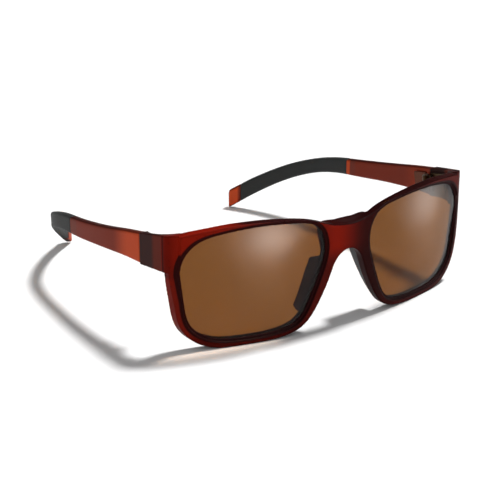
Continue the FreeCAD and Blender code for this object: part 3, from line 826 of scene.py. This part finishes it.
# ---------------------------------------------------------------- operators
class GLASSES_OT_finishes(bpy.types.Operator):
    """Build the shared effects that the materials use"""

    bl_idname = "glasses.finishes"
    bl_label = "Shared effects"

    def execute(self, context):
        make_mould_grain()
        make_edge_mask()
        make_band()
        make_wear()
        return {"FINISHED"}


class GLASSES_OT_front(bpy.types.Operator):
    """Mould the one-piece front, with its rims, bridge, nose fins and end-pieces"""

    bl_idname = "glasses.front"
    bl_label = "Front"

    def execute(self, context):
        shape, look = context.scene.glasses_shape, context.scene.glasses_finish
        front = moulded("front_moulding", "front_frame", shape.front_cell, shape.front_rounding,
                        shape.front_swell)
        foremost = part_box("front_frame")[0].y
        soften(front, lambda at: bridge_share(at, foremost), shape.bridge_rounding)
        mark_nearness(front, "near_lens", ["lens_left", "lens_right"], LIP_REACH)
        paint(front, front_nylon(look))
        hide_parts("front_frame")
        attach(front, "front")
        return {"FINISHED"}


class GLASSES_OT_arms(bpy.types.Operator):
    """Mould the two temple arms, whose ends show behind the rubber socks"""

    bl_idname = "glasses.arms"
    bl_label = "Temple arms"

    def execute(self, context):
        shape, look = context.scene.glasses_shape, context.scene.glasses_finish
        material = arm_nylon(look)
        for side in SIDES:
            arm = moulded(f"arm_moulding_{side}", f"temple_arm_{side}", shape.arm_cell,
                          shape.arm_rounding)
            end = max(vertex.co.y for vertex in arm.data.vertices)
            soften(arm, lambda at: ramp(at.y, end - TIP_START, end - TIP_FULL),
                   shape.tip_rounding)
            paint(arm, material)
            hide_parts(f"temple_arm_{side}")
            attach(arm, f"temple_{side}")
        return {"FINISHED"}


class GLASSES_OT_socks(bpy.types.Operator):
    """Mould the rubber ear socks over the ends of the arms"""

    bl_idname = "glasses.socks"
    bl_label = "Ear socks"

    def execute(self, context):
        shape, look = context.scene.glasses_shape, context.scene.glasses_finish
        material = rubber("sock rubber", tuple(look.rubber_black), look)
        for side in SIDES:
            sock = moulded(f"sock_rubber_{side}", f"ear_sock_{side}", shape.rubber_cell,
                           shape.rubber_rounding)
            paint(sock, material)
            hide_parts(f"ear_sock_{side}")
            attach(sock, f"temple_{side}")
        return {"FINISHED"}


class GLASSES_OT_pads(bpy.types.Operator):
    """Mould the rubber nose pads on the fins of the front"""

    bl_idname = "glasses.pads"
    bl_label = "Nose pads"

    def execute(self, context):
        shape, look = context.scene.glasses_shape, context.scene.glasses_finish
        material = rubber("pad rubber", tuple(look.pad_grey), look)
        for side in SIDES:
            pad = moulded(f"pad_rubber_{side}", f"nose_pad_{side}",
                          shape.rubber_cell * PAD_CELL_SHARE, shape.rubber_rounding)
            paint(pad, material)
            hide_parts(f"nose_pad_{side}")
            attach(pad, "front")
        return {"FINISHED"}


class GLASSES_OT_lenses(bpy.types.Operator):
    """Shape and tint the two lenses"""

    bl_idname = "glasses.lenses"
    bl_label = "Lenses"

    def execute(self, context):
        material = tinted_lens(context.scene.glasses_finish)
        for side in SIDES:
            lens = crowned_lens(f"crowned_lens_{side}", f"lens_{side}", context.scene.glasses_shape)
            paint(lens, material)
            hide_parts(f"lens_{side}")
            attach(lens, "front")
        return {"FINISHED"}


class GLASSES_OT_hinges(bpy.types.Operator):
    """Finish the steel hinge leaves and screws"""

    bl_idname = "glasses.hinges"
    bl_label = "Hinges"

    def execute(self, context):
        look = context.scene.glasses_finish
        leaf_steel = hinge_steel("leaf steel", tuple(look.steel), STROKES)
        arm_steel = hinge_steel("arm leaf steel", tuple(look.arm_leaf), STROKES)
        screw_steel = hinge_steel("screw steel", tuple(look.screw_steel), RINGS)
        for side in SIDES:
            paint(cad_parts[f"front_hinge_leaf_{side}"], leaf_steel)
            paint(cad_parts[f"temple_hinge_leaf_{side}"], arm_steel)
            paint(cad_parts[f"hinge_screw_{side}"], screw_steel)
        return {"FINISHED"}


class GLASSES_OT_studio(bpy.types.Operator):
    """Set up the pale floor, the soft lights and the camera"""

    bl_idname = "glasses.studio"
    bl_label = "Studio"

    def execute(self, context):
        setup = context.scene.glasses_studio
        make_floor(setup)
        make_room(setup)
        make_lights(setup)
        make_camera(setup)
        context.scene.view_settings.view_transform = "Standard"
        return {"FINISHED"}


STEPS = (GLASSES_OT_finishes, GLASSES_OT_front, GLASSES_OT_arms, GLASSES_OT_socks, GLASSES_OT_pads,
         GLASSES_OT_lenses, GLASSES_OT_hinges, GLASSES_OT_studio)


class GLASSES_PT_panel(bpy.types.Panel):
    """Sizes, finishes and steps of the glasses"""

    bl_idname = "GLASSES_PT_panel"
    bl_label = "Glasses"
    bl_space_type = "VIEW_3D"
    bl_region_type = "UI"
    bl_category = "Glasses"

    def draw(self, context):
        for step in STEPS:
            self.layout.operator(step.bl_idname)
        for settings in ("glasses_shape", "glasses_finish", "glasses_studio"):
            box = self.layout.box()
            group_of_settings = getattr(context.scene, settings)
            for name in group_of_settings.__annotations__:
                box.prop(group_of_settings, name)


CLASSES = (GlassesShape, GlassesFinish, GlassesStudio, *STEPS, GLASSES_PT_panel)


def register():
    """Register the add-on's classes and the scene's settings."""
    for item in CLASSES:
        bpy.utils.register_class(item)
    bpy.types.Scene.glasses_shape = PointerProperty(type=GlassesShape)
    bpy.types.Scene.glasses_finish = PointerProperty(type=GlassesFinish)
    bpy.types.Scene.glasses_studio = PointerProperty(type=GlassesStudio)


def unregister():
    """Undo register."""
    del bpy.types.Scene.glasses_studio
    del bpy.types.Scene.glasses_finish
    del bpy.types.Scene.glasses_shape
    for item in reversed(CLASSES):
        bpy.utils.unregister_class(item)


def main():
    """Run every step."""
    register()
    bpy.ops.glasses.finishes()
    bpy.ops.glasses.front()
    bpy.ops.glasses.arms()
    bpy.ops.glasses.socks()
    bpy.ops.glasses.pads()
    bpy.ops.glasses.lenses()
    bpy.ops.glasses.hinges()
    bpy.ops.glasses.studio()


if __name__ == "__main__":
    main()
